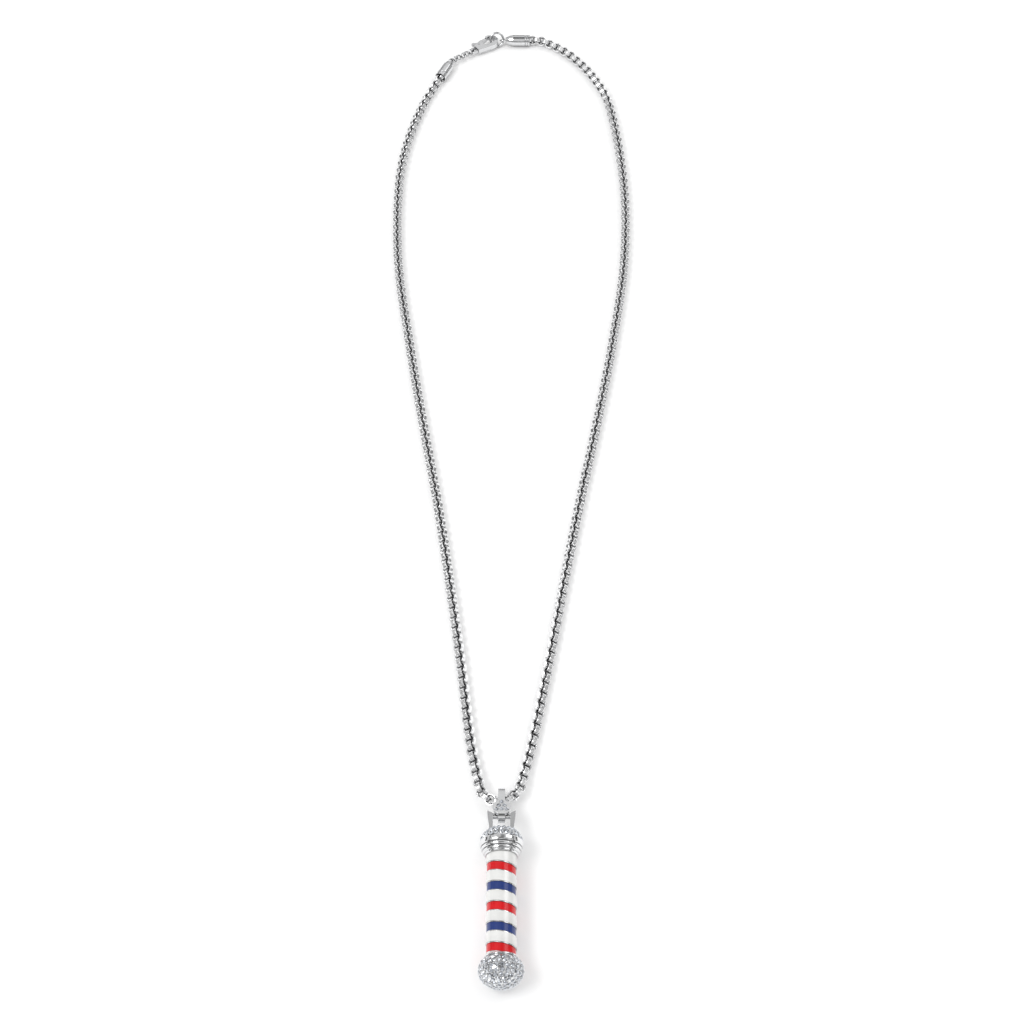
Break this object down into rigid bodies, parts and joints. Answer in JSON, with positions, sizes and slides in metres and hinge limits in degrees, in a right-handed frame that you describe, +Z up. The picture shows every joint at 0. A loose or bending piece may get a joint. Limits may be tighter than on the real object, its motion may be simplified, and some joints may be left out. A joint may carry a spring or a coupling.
{
  "type": "pendant necklace",
  "caption": "Barber-pole pendant with stone-set cap and ball, hung by a bail from a rounded box chain closed by a lobster clasp.",
  "frame": {"origin": "on the table plane, centre of the necklace laid flat", "axes": "+Y from the pendant towards the clasp, +Z up off the table, +X to the right seen from above with the clasp away from the viewer"},
  "size_m": [0.0748, 0.3376, 0.0112],
  "materials": {
    "chain_steel": "polished silver-tone chain links",
    "pendant_steel": "polished silver-tone casting",
    "fitting_steel": "polished silver-tone clasp and caps",
    "spring_wire": "bright spring wire",
    "stones": "clear faceted rhinestones",
    "white_enamel": "glossy cold enamel",
    "red_enamel": "glossy cold enamel",
    "blue_enamel": "glossy cold enamel"
  },
  "bodies": {
    "chain_bottom": {"chain_centre": "chain_steel"},
    "left_1": {"chain_left_01": "chain_steel"},
    "left_2": {"chain_left_02": "chain_steel"},
    "left_3": {"chain_left_03": "chain_steel"},
    "left_4": {"chain_left_04": "chain_steel"},
    "left_5": {"chain_left_05": "chain_steel"},
    "left_6": {"chain_left_06": "chain_steel"},
    "left_7": {"chain_left_07": "chain_steel"},
    "left_8": {"chain_left_08": "chain_steel", "end_cap_left": "fitting_steel", "clasp_links": "fitting_steel", "clasp_body": "fitting_steel", "clasp_rivet": "fitting_steel", "clasp_spring": "spring_wire"},
    "right_1": {"chain_right_01": "chain_steel"},
    "right_2": {"chain_right_02": "chain_steel"},
    "right_3": {"chain_right_03": "chain_steel"},
    "right_4": {"chain_right_04": "chain_steel"},
    "right_5": {"chain_right_05": "chain_steel"},
    "right_6": {"chain_right_06": "chain_steel"},
    "right_7": {"chain_right_07": "chain_steel"},
    "right_8": {"chain_right_08": "chain_steel", "chain_right_09": "chain_steel", "end_cap_right": "fitting_steel"},
    "trigger": {"clasp_trigger": "fitting_steel"},
    "jump_ring": {"jump_ring": "fitting_steel"},
    "bail": {"bail": "pendant_steel", "bail_stones": "stones"},
    "pendant": {"yoke": "pendant_steel", "top_cap": "pendant_steel", "cap_stones": "stones", "pole_core": "pendant_steel", "enamel_white": "white_enamel", "enamel_red": "red_enamel", "enamel_blue": "blue_enamel", "collar": "pendant_steel", "ball": "pendant_steel", "ball_stones": "stones"}
  },
  "joints": [
    {"name": "fold_left_1", "type": "hinge", "parent": "chain_bottom", "child": "left_1", "pos_m": [-0.01067, -0.09963, 0.00157], "axis": [1, 0, 0], "range_deg": [-15, 15]},
    {"name": "fold_right_1", "type": "hinge", "parent": "chain_bottom", "child": "right_1", "pos_m": [0.00568, -0.09963, 0.00157], "axis": [1, 0, 0], "range_deg": [-15, 15]},
    {"name": "fold_left_2", "type": "hinge", "parent": "left_1", "child": "left_2", "pos_m": [-0.01451, -0.06863, 0.00157], "axis": [1, 0, 0], "range_deg": [-15, 15]},
    {"name": "fold_right_2", "type": "hinge", "parent": "right_1", "child": "right_2", "pos_m": [0.01148, -0.06863, 0.00157], "axis": [1, 0, 0], "range_deg": [-15, 15]},
    {"name": "fold_left_3", "type": "hinge", "parent": "left_2", "child": "left_3", "pos_m": [-0.01889, -0.03763, 0.00157], "axis": [1, 0, 0], "range_deg": [-15, 15]},
    {"name": "fold_right_3", "type": "hinge", "parent": "right_2", "child": "right_3", "pos_m": [0.01696, -0.03763, 0.00157], "axis": [1, 0, 0], "range_deg": [-15, 15]},
    {"name": "fold_left_4", "type": "hinge", "parent": "left_3", "child": "left_4", "pos_m": [-0.02398, -0.00663, 0.00157], "axis": [1, 0, 0], "range_deg": [-15, 15]},
    {"name": "fold_right_4", "type": "hinge", "parent": "right_3", "child": "right_4", "pos_m": [0.02293, -0.00663, 0.00157], "axis": [1, 0, 0], "range_deg": [-15, 15]},
    {"name": "fold_left_5", "type": "hinge", "parent": "left_4", "child": "left_5", "pos_m": [-0.02914, 0.02437, 0.00157], "axis": [1, 0, 0], "range_deg": [-15, 15]},
    {"name": "fold_right_5", "type": "hinge", "parent": "right_4", "child": "right_5", "pos_m": [0.02876, 0.02437, 0.00157], "axis": [1, 0, 0], "range_deg": [-15, 15]},
    {"name": "fold_left_6", "type": "hinge", "parent": "left_5", "child": "left_6", "pos_m": [-0.03382, 0.05537, 0.00157], "axis": [1, 0, 0], "range_deg": [-15, 15]},
    {"name": "fold_right_6", "type": "hinge", "parent": "right_5", "child": "right_6", "pos_m": [0.03366, 0.05537, 0.00157], "axis": [1, 0, 0], "range_deg": [-15, 15]},
    {"name": "fold_left_7", "type": "hinge", "parent": "left_6", "child": "left_7", "pos_m": [-0.03599, 0.08637, 0.00157], "axis": [1, 0, 0], "range_deg": [-15, 15]},
    {"name": "fold_right_7", "type": "hinge", "parent": "right_6", "child": "right_7", "pos_m": [0.03598, 0.08637, 0.00157], "axis": [1, 0, 0], "range_deg": [-15, 15]},
    {"name": "fold_left_8", "type": "hinge", "parent": "left_7", "child": "left_8", "pos_m": [-0.034, 0.11737, 0.00157], "axis": [1, 0, 0], "range_deg": [-15, 15]},
    {"name": "fold_right_8", "type": "hinge", "parent": "right_7", "child": "right_8", "pos_m": [0.03471, 0.11737, 0.00157], "axis": [1, 0, 0], "range_deg": [-15, 15]},
    {"name": "bail_swing", "type": "hinge", "parent": "chain_bottom", "child": "bail", "pos_m": [-0.00243, -0.11848, 0.00332], "axis": [1, 0, 0], "range_deg": [-60, 60]},
    {"name": "pendant_swing", "type": "hinge", "parent": "bail", "child": "pendant", "pos_m": [-0.00243, -0.12383, 0.00561], "axis": [1, 0, 0], "range_deg": [-50, 50]},
    {"name": "trigger_pivot", "type": "hinge", "parent": "left_8", "child": "trigger", "pos_m": [-0.01105, 0.16479, 0.00192], "axis": [0, 0, 1], "range_deg": [-18, 0], "stiffness_Nm_per_rad": 0.0002, "springref_deg": 10},
    {"name": "jump_ring_spin", "type": "hinge", "parent": "right_8", "child": "jump_ring", "pos_m": [-0.00498, 0.16747, 0.00221], "axis": [0, -0.8192, 0.5736], "continuous": true}
  ],
  "couplings": [
    {"joint": "fold_right_1", "follows": "fold_left_1", "ratio": 1},
    {"joint": "fold_right_2", "follows": "fold_left_2", "ratio": 1},
    {"joint": "fold_right_3", "follows": "fold_left_3", "ratio": 1},
    {"joint": "fold_right_4", "follows": "fold_left_4", "ratio": 1},
    {"joint": "fold_right_5", "follows": "fold_left_5", "ratio": 1},
    {"joint": "fold_right_6", "follows": "fold_left_6", "ratio": 1},
    {"joint": "fold_right_7", "follows": "fold_left_7", "ratio": 1},
    {"joint": "fold_right_8", "follows": "fold_left_8", "ratio": 1}
  ]
}
